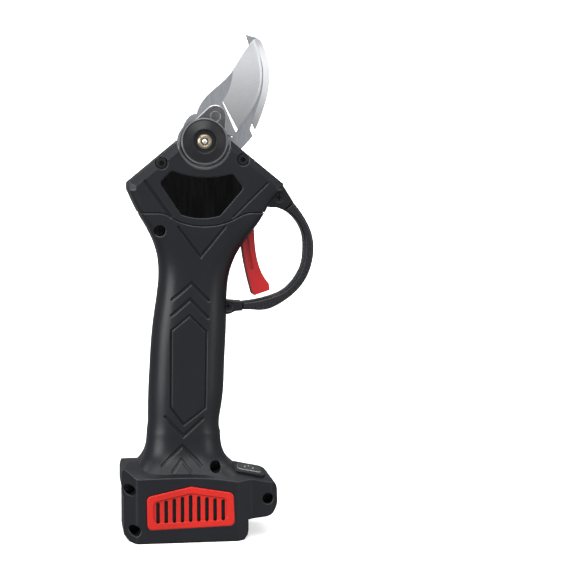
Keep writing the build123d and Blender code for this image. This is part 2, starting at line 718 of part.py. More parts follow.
def ring_tooth(angle):
    """One straight bevel tooth of the sector at that angle, from the inner to the outer radius."""
    with BuildPart() as tooth:
        for radius in (BEVEL_IN, BEVEL_OUT):
            m = BEVEL_MODULE * radius / BEVEL_OUT
            pitch_y = -radius / BEVEL_RATIO
            a = math.radians(angle)
            plane = Plane(
                origin=(PIVOT_X + radius * math.cos(a), 0, PIVOT_Z + radius * math.sin(a)),
                x_dir=(-math.sin(a), 0, math.cos(a)),
                z_dir=(math.cos(a), 0, math.sin(a)),
            )
            low, high = pitch_y - 1.6 * m, pitch_y + 0.8 * m
            half = math.pi * m / 4 * 0.84
            wide, thin = half + 1.35 * m * 0.364, half - 0.8 * m * 0.364
            with BuildSketch(plane):
                with BuildLine():
                    Polyline((-wide, -low), (wide, -low), (thin, -high), (-thin, -high), close=True)
                make_face()
        loft(ruled=True)
    return tooth.part


def make_sector():
    """Toothed drive sector on the back of the moving blade."""
    root_in = -BEVEL_IN / BEVEL_RATIO - 1.3 * BEVEL_MODULE * BEVEL_IN / BEVEL_OUT
    root_out = -BEVEL_OUT / BEVEL_RATIO - 1.3 * BEVEL_MODULE
    with BuildPart() as sector:
        axis = Axis((PIVOT_X, 0, PIVOT_Z), (0, -1, 0))
        start = Plane(
            origin=(PIVOT_X, 0, PIVOT_Z),
            x_dir=(math.cos(math.radians(SECTOR_START)), 0, math.sin(math.radians(SECTOR_START))),
            z_dir=(math.sin(math.radians(SECTOR_START)), 0, -math.cos(math.radians(SECTOR_START))),
        )
        with BuildSketch(start):
            with BuildLine():
                side = start.y_dir.Y
                rim = [(BEVEL_IN, BLADE_BACK), (BEVEL_OUT, BLADE_BACK)]
                rim += [(BEVEL_OUT, root_out), (BEVEL_IN, root_in)]
                Polyline(*[(r, y * side) for r, y in rim], close=True)
            make_face()
        revolve(axis=axis, revolution_arc=SECTOR_END - SECTOR_START)
        for i in range(7):
            add(ring_tooth(-90 - TILT - 10 * i))
    save(sector.part, "bevel_sector")


def make_pivot():
    """Bolt, bushes, lock plate, pin, cap and grease nipple on the pivot axis."""
    with BuildPart() as bolt:
        with BuildSketch(facing_front(CASE_BACK + 4.6)):
            with Locations((PIVOT_X, PIVOT_Z)):
                RegularPolygon(7.2, 6)
        extrude(amount=4.5)
        add(rod(PIVOT_X, PIVOT_Z, BOLT_R, CASE_BACK + 0.2, -15.55))
        add(rod(PIVOT_X, PIVOT_Z, 4.0, -15.5, -22.2))
        add(rod(PIVOT_X, PIVOT_Z, 2.6, -19.8, -23), mode=Mode.SUBTRACT)
        add(rod(PIVOT_X, PIVOT_Z, 0.9, 3.0, -19.8), mode=Mode.SUBTRACT)
    save(bolt.part, "pivot_bolt")
    for name, back, front in (("pivot_bush_front", -0.3, CASE_FRONT), ("pivot_bush_rear", CASE_BACK, 6.0)):
        with BuildPart() as bush:
            add(rod(PIVOT_X, PIVOT_Z, 6.5, back, front))
            add(rod(PIVOT_X, PIVOT_Z, BOLT_R + RUN, 20, -20), mode=Mode.SUBTRACT)
        save(bush.part, name)
    with BuildPart() as plate:
        with BuildSketch(facing_front(PLATE_BACK)) as outline:
            with BuildLine():
                CenterArc((PIVOT_X, PIVOT_Z), 12.0, 0, 360)
                CenterArc(LOCK_PIN, 6.2, 0, 360)
            make_hull()
        extrude(amount=PLATE_T)
        chamfer(plate.faces().sort_by(Axis.Y)[0].edges(), 0.5)
        add(rod(PIVOT_X, PIVOT_Z, BOLT_R, 0, -30), mode=Mode.SUBTRACT)
        add(rod(*LOCK_PIN, LOCK_PIN_R, 0, -30), mode=Mode.SUBTRACT)
    save(plate.part, "lock_plate")
    with BuildPart() as pin:
        add(rod(*LOCK_PIN, LOCK_PIN_R, BLADE_BACK - 0.8, PLATE_BACK - PLATE_T))
        chamfer(pin.faces().sort_by(Axis.Y)[0].edges(), 0.4)
    save(pin.part, "lock_pin")
    turned("pivot_cap", [
        (4.0, -15.55), (CAP_R, -15.55), (CAP_R, -21.9), (12.5, -22.4), (12.0, -22.5),
        (11.6, -22.1), (6.9, -23.6), (6.3, -23.4), (6.0, -21.9), (4.0, -21.9),
    ])
    turned("grease_nipple", [
        (0.9, -19.8), (2.6, -19.8), (2.6, -22.2), (3.6, -22.2), (3.6, -23.2), (3.1, -23.7),
        (2.8, -23.7), (2.6, -23.3), (2.1, -23.3), (1.75, -22.9), (1.75, -21.0), (0.9, -21.0),
    ])
    with BuildPart() as ball:
        with Locations((PIVOT_X, -22.75, PIVOT_Z)):
            Sphere(1.7)
    save(ball.part, "nipple_ball")


def turned(name, profile):
    """Turned piece on the pivot axis from a list of radius, Y points."""
    with BuildPart() as piece:
        with BuildSketch(Plane(origin=(PIVOT_X, 0, PIVOT_Z), x_dir=(1, 0, 0), z_dir=(0, 0, 1))):
            with BuildLine():
                Polyline(*profile, close=True)
            make_face()
        revolve(axis=Axis((PIVOT_X, 0, PIVOT_Z), (0, 1, 0)))
    save(piece.part, name)


# ---------------------------------------------------------------- gears and motor
def flank_half_angle(radius, teeth, module, factor):
    """Half the angle that one involute tooth spans at that radius."""
    base = teeth * module / 2 * math.cos(math.radians(20))
    turn = math.acos(min(1.0, base / max(radius, base)))
    start = math.radians(20)
    return factor * math.pi / (2 * teeth) + (math.tan(start) - start) - (math.tan(turn) - turn)


def gear_points(teeth, module, root, tip, factor, phase):
    """Outline of a spur gear as points, one tooth centred on the phase angle in degrees."""
    points = []
    radii = [root, (root + teeth * module / 2) / 2, teeth * module / 2, tip]
    for i in range(teeth):
        centre = math.radians(phase) + 2 * math.pi * i / teeth
        sides = [(r, -flank_half_angle(r, teeth, module, factor)) for r in radii]
        sides += [(r, -a) for r, a in reversed(sides)]
        points += [(r * math.cos(centre + a), r * math.sin(centre + a)) for r, a in sides]
    return points


def shifted(points, centre):
    """Points moved so that their origin is at centre."""
    return [(x + centre[0], y + centre[1]) for x, y in points]


def planet_phase(theta):
    """Phase of a planet at angle theta, in degrees, that puts it in mesh with the sun."""
    turns = 0.5 - theta * SUN_TEETH / 360
    return theta + 180 - 360 / PLANET_TEETH * turns


def make_gears():
    """Bevel pinion with its shaft and carrier, planets, sun and ring gear."""
    with BuildPart() as pinion:
        for distance in (BEVEL_IN, BEVEL_OUT):
            m = BEVEL_MODULE * distance / BEVEL_OUT
            r = distance / BEVEL_RATIO
            with BuildSketch(drive_plane(distance)):
                with BuildLine():
                    Polyline(*gear_points(PINION_TEETH, m, r - 1.2 * m, r + 0.8 * m, 0.84, 18), close=True)
                make_face()
        loft(ruled=True)
        add(barrel(5.0, BEVEL_OUT, BEARING_AT - 0.1))
        add(barrel(SHAFT_R, BEARING_AT - 0.2, CARRIER_AT))
    save(pinion.part, "bevel_pinion")
    with BuildPart() as carrier:
        add(barrel(12.4, CARRIER_AT, CARRIER_AT + CARRIER_T))
        for theta in (0, 120, 240):
            a = math.radians(theta)
            with BuildSketch(drive_plane(CARRIER_AT)):
                with Locations((CARRIER_R * math.cos(a), CARRIER_R * math.sin(a))):
                    Circle(PIN_R)
            extrude(amount=GEAR_AT + GEAR_T + 0.6 - CARRIER_AT)
    save(carrier.part, "planet_carrier")
    p = GEAR_MODULE * PLANET_TEETH / 2
    for i, theta in enumerate((0, 120, 240)):
        a = math.radians(theta)
        centre = (CARRIER_R * math.cos(a), CARRIER_R * math.sin(a))
        teeth = gear_points(PLANET_TEETH, GEAR_MODULE, p - 0.75, p + 0.55, 0.86, planet_phase(theta))
        with BuildPart() as planet:
            with BuildSketch(drive_plane(GEAR_AT)):
                with BuildLine():
                    Polyline(*shifted(teeth, centre), close=True)
                make_face()
                with Locations(centre):
                    Circle(PIN_R + RUN, mode=Mode.SUBTRACT)
            extrude(amount=GEAR_T)
        save(planet.part, f"planet_gear_{i + 1}")
    s = GEAR_MODULE * SUN_TEETH / 2
    with BuildPart() as sun:
        with BuildSketch(drive_plane(GEAR_AT)):
            with BuildLine():
                Polyline(*gear_points(SUN_TEETH, GEAR_MODULE, s - 0.75, s + 0.55, 0.86, 0), close=True)
            make_face()
            Circle(AXLE_R, mode=Mode.SUBTRACT)
        extrude(amount=GEAR_T + 1.0)
    save(sun.part, "sun_gear")
    r = GEAR_MODULE * RING_TEETH / 2
    ring_phase = -(0 - planet_phase(0)) * PLANET_TEETH / RING_TEETH
    void = gear_points(RING_TEETH, GEAR_MODULE, r - 0.55, r + 0.8, 1.16, ring_phase)
    with BuildPart() as ring:
        add(barrel(RING_R, RING_AT - 2.0, RING_END))
        with BuildSketch(drive_plane(RING_AT)):
            with BuildLine():
                Polyline(*void, close=True)
            make_face()
        extrude(amount=RING_END - RING_AT, mode=Mode.SUBTRACT)
        add(barrel(5.2, RING_AT - 3, RING_AT + 1), mode=Mode.SUBTRACT)
    save(ring.part, "ring_gear")


def make_bearing():
    """Ball bearing of the pinion shaft."""
    end = BEARING_AT + BEARING_T
    save(tube(BEARING_R, 7.95, BEARING_AT, end), "bearing_outer_race")
    save(tube(RACE_R, SHAFT_R, BEARING_AT, end), "bearing_inner_race")
    with BuildPart() as balls:
        with Locations(drive_plane(BEARING_AT + BEARING_T / 2)):
            with PolarLocations(6.78, 9):
                Sphere(1.12)
    save(balls.part, "bearing_balls")


def make_gear_case():
    """Cast case that carries the pivot bushes and the pinion bearing."""
    with BuildPart() as case:
        add(rod(PIVOT_X, PIVOT_Z, HUB_R, -2.0, CASE_FRONT))
        add(rod(PIVOT_X, PIVOT_Z, CASE_BOSS_R, CASE_BACK, -2.0))
        plate = [(-6.4, 211), (-6.4, 204), (-9.4, 202), (-9.4, 196), (0.0, 189.5), (20, 188.5)]
        plate += [(30.4, 199.5), (30.4, 204.5), (27.4, 208.5), (25, 216), (0, 216)]
        add(prism(plate, CASE_BACK, 8.4, 1.0))
        with BuildSketch(drive_plane(BEARING_AT - 1.2)):
            with Locations((-0.25, 0)):
                Rectangle(23.5, 25)
        extrude(amount=RING_AT - 2.0 - BEARING_AT + 1.2)
        add(barrel(5.4, BEARING_AT - 2, BEARING_AT + 1), mode=Mode.SUBTRACT)
        add(barrel(BEARING_R, BEARING_AT, RING_AT), mode=Mode.SUBTRACT)
        add(rod(PIVOT_X, PIVOT_Z, 6.5, 30, 6.0), mode=Mode.SUBTRACT)
        add(rod(PIVOT_X, PIVOT_Z, 6.5, -0.3, -30), mode=Mode.SUBTRACT)
        add(rod(PIVOT_X, PIVOT_Z, 5.5, 20, -20), mode=Mode.SUBTRACT)
        for x, z in BLADE_SCREWS + CASE_SCREWS:
            add(rod(x, z, SCREW_R, 30, -30), mode=Mode.SUBTRACT)
    save(case.part, "gear_case")


def make_motor():
    """Motor can, end bell, stator and rotor on the drive axis."""
    with BuildPart() as can:
        add(barrel(MOTOR_R, MOTOR_AT, MOTOR_END - 3))
        add(barrel(MOTOR_R - 1.2, MOTOR_AT + 1.6, MOTOR_END), mode=Mode.SUBTRACT)
        add(barrel(3.0, MOTOR_AT - 1, MOTOR_AT + 3), mode=Mode.SUBTRACT)
    save(can.part, "motor_can")
    with BuildPart() as bell:
        add(barrel(MOTOR_R, MOTOR_END - 3, MOTOR_END))
        add(barrel(AXLE_R + RUN, MOTOR_END - 4, MOTOR_END + 1), mode=Mode.SUBTRACT)
    save(bell.part, "motor_end_bell")
    save(tube(MOTOR_R - 1.2, ROTOR_R + 0.5, MOTOR_AT + 6, MOTOR_END - 8), "motor_stator")
    with BuildPart() as rotor:
        add(barrel(ROTOR_R, MOTOR_AT + 8, MOTOR_END - 10))
        add(barrel(AXLE_R, GEAR_AT, MOTOR_END + 1))
    save(rotor.part, "motor_rotor")


# ---------------------------------------------------------------- trigger and guard
def make_trigger():
    """Curved trigger with its hub and switch arm, on a pin."""
    with BuildPart() as trigger:
        with BuildSketch(facing_front(TRIGGER_HALF)) as outline:
            with BuildLine():
                Spline((40.9, 171.6), (41.3, 163.7), (42.6, 154.9), (45.2, 147.2), (49.2, 141.3))
                Polyline((49.2, 141.3), (49.8, 137.4), (40.4, 134.3))
                Spline((40.4, 134.3), (37.4, 145.4), (34.9, 158.5), (33.6, 172.0))
                Polyline((33.6, 172.0), (33.4, 177.0), (39.0, 177.0), (40.9, 171.6))
            make_face()
            low = outline.vertices().filter_by(lambda v: v.Z < 142)
            fillet(low, 0.9)
        extrude(amount=2 * TRIGGER_HALF)
        with BuildSketch(facing_front(TRIGGER_HALF)):
            with Locations((TRIGGER_X, TRIGGER_Z)):
                Circle(TRIGGER_HUB)
        extrude(amount=2 * TRIGGER_HALF)
        add(prism([(34.2, 178), (38.2, 178), (36.6, 188.6), (34.0, 188.6)], 2.5, -2.5, 0.6))
        for y in (-TRIGGER_HALF, TRIGGER_HALF):
            back = -TRIGGER_HALF + 0.9 if y < 0 else TRIGGER_HALF + 1
            path = [(36.0, 171), (37.3, 160), (39.3, 150)]
            add(stroke(path, 2.2, back, back - 1.9), mode=Mode.SUBTRACT)
        add(rod(TRIGGER_X, TRIGGER_Z, 1.5 + RUN, 20, -20), mode=Mode.SUBTRACT)
        with BuildSketch(facing_front(TRIGGER_HALF + 1)):
            with Locations((TRIGGER_X, TRIGGER_Z)):
                Circle(5.2)
                Circle(2.3, mode=Mode.SUBTRACT)
        extrude(amount=3.6, mode=Mode.SUBTRACT)
    save(trigger.part, "trigger")
    save(rod(TRIGGER_X, TRIGGER_Z, 1.5, 9.0, -9.0), "trigger_pin")
    coil = Helix(pitch=0.85, height=1.8, radius=2.95)
    start = Plane(origin=coil @ 0, z_dir=coil % 0)
    seat = Plane(origin=(TRIGGER_X, 5.7, TRIGGER_Z), x_dir=(1, 0, 0), z_dir=(0, -1, 0))
    spring = seat * sweep(start * Circle(0.36), path=coil, is_frenet=True)
    save(spring, "trigger_spring")
    with BuildPart() as switch:
        with Locations((41.9, 0, 188.2)):
            Box(5.0, 6.0, 6.8)
        with Locations((39.4, 0, 188.2)):
            Box(1.0, 2.4, 1.6)
    save(switch.part, "trigger_switch")


def make_guard():
    """Finger guard bow with a flat tongue at each end."""
    with BuildPart() as guard:
        with BuildSketch(facing_front(GUARD_HALF)):
            with BuildLine():
                Spline(
                    (63.1, 187.1), (70.3, 177.2), (74.4, 167.0), (74.9, 158.5), (69.4, 141.8),
                    (55.2, 129.3), (46.8, 126.1), (39.6, 126.3), (34.1, 126.4),
                )
                Line((34.1, 126.4), (34.1, 130.8))
                Spline(
                    (34.1, 130.8), (42.0, 131.8), (51.0, 134.0), (58.0, 137.1), (64.4, 143.4),
                    (68.6, 151.3), (69.8, 160.5), (69.2, 168.5), (65.0, 177.0), (58.0, 182.7),
                )
                Line((58.0, 182.7), (63.1, 187.1))
            make_face()
        extrude(amount=2 * GUARD_HALF)
        rims = guard.faces().sort_by(Axis.Y)
        chamfer(rims[0].edges() + rims[-1].edges(), 0.9)
        add(eye_shape(EYE_TOP, GUARD_SCREWS[0], 0, EYE_HALF))
        add(eye_shape(EYE_LOW, GUARD_SCREWS[1], 0, EYE_HALF))
        for x, z in GUARD_SCREWS:
            add(rod(x, z, SCREW_R, 20, -20), mode=Mode.SUBTRACT)
    save(guard.part, "trigger_guard")


# ---------------------------------------------------------------- fasteners
def screw(x, z, head_back, head_front, head_r, tip, drive):
    """One screw along Y with its head in front, or behind when head_front is the larger."""
    with BuildPart() as piece:
        add(rod(x, z, head_r, max(head_back, head_front), min(head_back, head_front)))
        add(rod(x, z, SCREW_R, max(tip, head_back), min(tip, head_back)))
        into = 1.4 if head_front > head_back else -1.4
        face = head_front
        with BuildSketch(facing_front(max(face, face - into))):
            with Locations((x, z)):
                if drive == "hex":
                    RegularPolygon(1.5, 6)
                else:
                    Rectangle(head_r * 1.3, 0.7)
                    Rectangle(0.7, head_r * 1.3)
        extrude(amount=abs(into), mode=Mode.SUBTRACT)
    return piece.part


def save_group(solids, name):
    """Writes several equal fasteners as one node."""
    group = Compound(children=[s for part in solids for s in part.solids()])
    group.label = name
    export_step(group, f"parts/{name}.step")


def make_screws():
    """All the fasteners, one node for each kind."""
    save_group([screw(x, z, -f, -f - 2.2, 2.7, 10.0, "cross") for x, z, f in SHELL_SCREWS], "shell_screws")
    save_group([screw(x, z, -16.6, -19.6, 3.0, 14.0, "hex") for x, z in HEAD_SCREWS], "head_screws")
    save_group([screw(x, z, -4.6, -6.3, 2.6, 5.2, "cross") for x, z in GUARD_SCREWS], "guard_screws")
    save_group([screw(x, z, 8.4, 6.4, 2.6, 17.0, "cross") for x, z in CASE_SCREWS], "case_screws")
    group = [screw(x, z, 12.0, 14.0, 2.6, HOOK_BACK - 3.0, "cross") for x, z in BLADE_SCREWS]
    save_group(group, "blade_screws")


# ---------------------------------------------------------------- electrics
def wire(points, radius):
    """Round lead swept along a smooth line."""
    with BuildPart() as lead:
        with BuildLine() as path:
            Spline(*points)
        with BuildSketch(Plane(origin=path.line @ 0, z_dir=path.line % 0)):
            Circle(radius)
        sweep()
    return lead.part


def make_electrics():
    """Control board, its parts, the terminal block and the leads."""
    with BuildPart() as board:
        with Locations((4, 0, 18.4)):
            Box(56, 38, 1.6)
    save(board.part, "control_board")
    with BuildPart() as chips:
        for i in range(6):
            with Locations((-17 + 7.5 * i, 12.2 if i % 2 else 5, 20.0)):
                Box(5.2, 6.2, 1.6)
    save(chips.part, "power_transistors")
    with BuildPart() as cans:
        for x in (-16, -6):
            with Locations((x, -11, 19.2)):
                Cylinder(4.0, 11.0, align=(Align.CENTER, Align.CENTER, Align.MIN))
    save(cans.part, "capacitors")
    with BuildPart() as block:
        with Locations((-16.6, 0, 7.7)):
            Box(13.0, 36, 6.2)
        with Locations((-16.5, 0, 12.4)):
            Box(7.8, 23.8, 3.2)
        for i in range(5):
            with Locations((-13.0, -13 + 6.5 * i, 7.4)):
                Box(6.0, 0.8, 4.0, mode=Mode.SUBTRACT)
    save(block.part, "terminal_block")
    with BuildPart() as blades:
        for i in range(5):
            with Locations((-9.0, -13 + 6.5 * i, 7.4)):
                Box(14.0, 0.8, 4.0)
    save(blades.part, "contact_blades")
    bottom = PIVOT_Z - MOTOR_END * math.cos(tilt)
    leads = []
    for i, (dx, y) in enumerate(((-5.0, -6.0), (-7.0, 1.0), (-5.0, 7.0))):
        start = drive_x(bottom) + dx
        run = [(start, y, bottom - 0.3), (start - 1, y, 96), (start, y, 60)]
        run += [(3 * i, y, 34), (1.0 + 3.2 * i, y, 19.6)]
        leads.append(wire(run, 0.9))
    save_group(leads, "motor_leads")
    pair = [wire([(-16.5, y, 14.3), (-16.3, y, 15.8), (-16.5, y, 17.3)], 1.0) for y in (-5.0, 5.0)]
    save_group(pair, "battery_leads")
    run = [(41.5, 4.0, 188.0), (38.0, 9.0, 189.5), (30.0, 12.5, 184.0), (25.0, 12.8, 173.0)]
    run += [(19.6, 12.2, 155.0), (18.2, 11.9, 135.0), (17.2, 12.0, 118.0), (12.0, 10.0, 70.0)]
    run += [(9.0, 11.5, 46.0), (11.0, 13.0, 33.0), (20.0, 14.0, 25.0), (28.0, 14.0, 19.8)]
    save_group([wire(run, 0.75)], "switch_lead")


make_casing()
make_trims()
make_power_switch()
make_moving_blade()
make_fixed_blade()
make_sector()
make_pivot()
make_gears()
make_bearing()
make_gear_case()
make_motor()
make_trigger()
make_guard()
make_screws()
make_electrics()
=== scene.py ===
"""Looks of the battery electric pruner: materials, light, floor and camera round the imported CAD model."""

import json
import math

import bpy
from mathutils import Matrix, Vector


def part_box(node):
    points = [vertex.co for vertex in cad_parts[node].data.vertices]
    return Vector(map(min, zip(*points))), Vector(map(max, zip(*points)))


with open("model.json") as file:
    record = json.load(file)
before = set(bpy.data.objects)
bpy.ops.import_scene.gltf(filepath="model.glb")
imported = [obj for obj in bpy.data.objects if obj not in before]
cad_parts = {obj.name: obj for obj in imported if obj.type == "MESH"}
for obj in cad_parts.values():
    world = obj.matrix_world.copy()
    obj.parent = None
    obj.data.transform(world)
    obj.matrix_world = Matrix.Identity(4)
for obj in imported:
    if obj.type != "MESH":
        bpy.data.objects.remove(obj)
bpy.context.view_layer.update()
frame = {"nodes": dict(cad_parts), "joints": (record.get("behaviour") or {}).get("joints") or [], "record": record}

MM = 0.001
JOINTS = {joint["name"]: joint for joint in frame["joints"]}

PIVOT = Vector(JOINTS["blade_pivot"]["pos_m"])
CAP_LOW, CAP_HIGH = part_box("pivot_cap")
CAP_RADIUS = (CAP_HIGH.x - CAP_LOW.x) / 2
CAP_RIM_RADIUS = CAP_RADIUS - 0.55 * MM         # just inside the cap's outer edge, where a highlight ring is painted
CASE_RIM_RADIUS = CAP_RADIUS + 1.45 * MM        # edge of the head casing round the cap, where a highlight ring is painted

KEY_MIDDLE = sum(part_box("power_key"), Vector()) / 2
KEY_UP = -Vector(JOINTS["power_press"]["axis"])
KEY_MARK_LEVEL = 1.757 * MM                     # floor of the key's sunk mark, above KEY_MIDDLE

BLADE_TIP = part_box("moving_blade")[1].z
BRIGHT_ABOVE = BLADE_TIP - 11.7 * MM            # painted reflection on ground steel is brightest from here up
GREY_BELOW = BLADE_TIP - 47.7 * MM              # and is painted greyest from here down
UPPER_LEFT = Vector((-0.5, -0.15, 0.85))        # edges that tip this way are painted paler

MIDDLE = Vector((0.02, 0.0, 0.15))              # what the lights aim at, in the object's middle
CAMERA_AT = Vector((-0.0717, -0.8879, 0.2008))
CAMERA_AIM = Vector((0.061, 0.0, 0.138))
FLOOR_FRONT, FLOOR_HALF_WIDTH = -12.0, 14.0
CURVE_FROM, CURVE_RADIUS, BACKDROP_TOP = 1.2, 1.2, 4.0
FLOOR_DROP = 0.02 * MM                          # keeps the floor clear of the foot's underside


# ------------------------------------------------------------------ node helpers
class Shader:
    """A new material with a Principled shader, and short calls that add nodes to it."""

    def __init__(self, name):
        self.material = bpy.data.materials.new(name)
        self.material.use_nodes = True
        self.tree = self.material.node_tree
        self.main = next(n for n in self.tree.nodes if n.type == "BSDF_PRINCIPLED")

    def add(self, kind, inputs=None, **settings):
        """A new node with its properties from settings, and its inputs set or linked."""
        node = self.tree.nodes.new(kind)
        for key, value in settings.items():
            setattr(node, key, value)
        for key, value in (inputs or {}).items():
            self.put(node, key, value)
        return node

    def put(self, node, key, value):
        """Links value to an input where it is a node or a socket, and sets it where it is a plain value."""
        socket = node.inputs[key]
        if isinstance(value, bpy.types.NodeSocket):
            self.tree.links.new(value, socket)
        elif isinstance(value, bpy.types.Node):
            self.tree.links.new(value.outputs[0], socket)
        else:
            socket.default_value = value

    def math(self, operation, a, b=None):
        node = self.add("ShaderNodeMath", operation=operation)
        self.put(node, 0, a)
        if b is not None:
            self.put(node, 1, b)
        return node.outputs[0]

    def ramp(self, value, low, high, to_low=0.0, to_high=1.0):
        """value mapped from low..high to to_low..to_high, held at both ends."""
        node = self.add("ShaderNodeMapRange", clamp=True)
        values = (value, low, high, to_low, to_high)
        for key, setting in zip(("Value", "From Min", "From Max", "To Min", "To Max"), values):
            self.put(node, key, setting)
        return node.outputs["Result"]

    def place(self, stretch=(1, 1, 1), turn=(0, 0, 0), shift=(0, 0, 0)):
        """The object's own coordinates, which are the frame's, moved, turned and stretched."""
        at = self.add("ShaderNodeTexCoord").outputs["Object"]
        moved = self.add("ShaderNodeMapping", {"Vector": at, "Location": shift})
        turned = self.add("ShaderNodeMapping", {"Vector": moved, "Rotation": turn, "Scale": stretch})
        return turned.outputs[0]

    def noise(self, scale, detail=3.0, rough=0.55, at=None):
        node = self.add("ShaderNodeTexNoise", {"Scale": scale, "Detail": detail, "Roughness": rough})
        self.put(node, "Vector", at if at is not None else self.place())
        return node.outputs["Fac"]

    def mix(self, amount, a, b):
        node = self.add("ShaderNodeMix", data_type="RGBA")
        self.put(node, "Factor", amount)
        self.put(node, "A", a if isinstance(a, bpy.types.NodeSocket) else (*a, 1.0))
        self.put(node, "B", b if isinstance(b, bpy.types.NodeSocket) else (*b, 1.0))
        return next(o for o in node.outputs if o.type == "RGBA")

    def rounded(self, radius, samples=4):
        """Normal of the surface with its hard edges rounded off by radius."""
        return self.add("ShaderNodeBevel", {"Radius": radius}, samples=samples).outputs[0]

    def edge_wear_and_highlight(self, radius):
        """1 along edges and 0 on open faces; materials make their edges paler by it, partly wear and partly
        painted highlight.
        """
        soft = self.rounded(radius, 6)
        flat = self.add("ShaderNodeNewGeometry").outputs["Normal"]
        dot = self.add("ShaderNodeVectorMath", {0: soft, 1: flat}, operation="DOT_PRODUCT")
        return self.ramp(dot.outputs["Value"], 0.985, 0.80)

    def sheltered(self, reach, start=0.80):
        """1 deep in grooves and recesses, 0 on open faces; materials darken by it as painted shade."""
        open_sky = self.add("ShaderNodeAmbientOcclusion", {"Distance": reach}, samples=6).outputs["AO"]
        return self.ramp(open_sky, start, 0.42)

    def tipped(self, radius):
        """How far a rounded edge tips towards the upper left (positive) or the lower right (negative)."""
        flat = self.add("ShaderNodeNewGeometry").outputs["Normal"]
        turn = self.add("ShaderNodeVectorMath", {0: self.rounded(radius, 6), 1: flat}, operation="SUBTRACT")
        dot = self.add("ShaderNodeVectorMath", {0: turn.outputs[0], 1: UPPER_LEFT}, operation="DOT_PRODUCT")
        return dot.outputs["Value"]

    def from_pivot(self):
        """Distance from the pivot axis, which runs along y."""
        at = self.place(stretch=(1, 0, 1), shift=-PIVOT)
        return self.add("ShaderNodeVectorMath", {0: at}, operation="LENGTH").outputs["Value"]

    def ring(self, radius, width):
        """1 on a thin circle round the pivot axis, 0 elsewhere."""
        off = self.math("ABSOLUTE", self.math("SUBTRACT", self.from_pivot(), radius))
        return self.ramp(off, width, width * 0.4)

    def bump(self, height, distance, strength, normal=None):
        node = self.add("ShaderNodeBump", {"Height": height, "Distance": distance, "Strength": strength})
        if normal is not None:
            self.put(node, "Normal", normal)
        return node.outputs[0]

    def facing(self):
        """How squarely a face looks along the y axis, from 0 to 1."""
        flat = self.add("ShaderNodeNewGeometry").outputs["True Normal"]
        spaces = {"vector_type": "NORMAL", "convert_from": "WORLD", "convert_to": "OBJECT"}
        local = self.add("ShaderNodeVectorTransform", {0: flat}, **spaces)
        split = self.add("ShaderNodeSeparateXYZ", {0: local})
        return self.math("ABSOLUTE", split.outputs["Y"])

    def finish(self, colour, roughness, normal, **fixed):
        """The material, with fixed holding constants by socket name, underscores for spaces."""
        self.put(self.main, "Base Color", colour)
        self.put(self.main, "Roughness", roughness)
        self.put(self.main, "Normal", normal)
        for key, value in fixed.items():
            self.main.inputs[key.replace("_", " ")].default_value = value
        return self.material


def tinted(colour, amount):
    """The colour made darker or brighter by a factor."""
    return tuple(min(1.0, c * amount) for c in colour)


# ------------------------------------------------------------------ materials
def moulded(name, colour, rough, grain=0.012, edge=1.5, radius=0.45, specular=0.5, recess_shade=0.85,
            start=0.80, pale=None, rim=None):
    """Moulded plastic: spark-eroded grain, faint flow marks, polished edges, painted highlights and shade."""
    s = Shader(name)
    broad = s.noise(26.0, 2.0)
    flow = s.noise(9.0, 4.0, 0.6, s.place(stretch=(3, 3, 0.8)))
    fine = s.noise(2600.0, 2.0, 0.5)
    speck = s.noise(900.0, 3.0, 0.7)
    edge_wear_and_highlight = s.edge_wear_and_highlight(radius * MM * 1.2)
    shade = s.mix(s.ramp(broad, 0.35, 0.68), tinted(colour, 0.86), tinted(colour, 1.12))
    shade = s.mix(s.math("MULTIPLY", s.ramp(speck, 0.45, 0.72), 0.30), shade, tinted(colour, 1.55))
    # Painted highlight: edges are tinted paler by edge; their real polish is only the lower roughness below.
    shade = s.mix(s.math("MULTIPLY", edge_wear_and_highlight, 0.55), shade, tinted(colour, edge))
    # Painted shade: grooves and recesses are darkened where ambient occlusion finds them enclosed.
    shade = s.mix(s.math("MULTIPLY", s.sheltered(3.0 * MM, start), recess_shade), shade, tinted(colour, 0.10))
    # Painted highlight in the pale colour on edges that tip to the upper left, painted shade on those tipping
    # lower right.
    tip = s.tipped(radius * MM)
    shade = s.mix(s.ramp(tip, 0.04, 0.40, 0.0, 0.8), shade, pale or tinted(colour, 2.0))
    shade = s.mix(s.ramp(tip, -0.04, -0.40, 0.0, 0.75), shade, tinted(colour, 0.15))
    # Painted highlight: a pale broken ring along the casing's edge round the cap.
    if rim:
        painted_rim_highlight = s.math("MULTIPLY", s.ring(rim, 0.45 * MM), s.ramp(broad, 0.3, 0.6, 0.5, 0.9))
        shade = s.mix(painted_rim_highlight, shade, (0.19, 0.19, 0.20))
    roughness = s.ramp(flow, 0.3, 0.7, rough - 0.05, rough + 0.06)
    roughness = s.math("ADD", roughness, s.ramp(speck, 0.3, 0.7, -0.03, 0.03))
    roughness = s.math("SUBTRACT", roughness, s.math("MULTIPLY", edge_wear_and_highlight, 0.09))
    normal = s.rounded(radius * MM)
    normal = s.bump(broad, 0.0007, 0.12, normal)
    normal = s.bump(fine, grain * MM * 2, 0.8, normal)
    return s.finish(shade, roughness, normal, Specular_IOR_Level=specular)


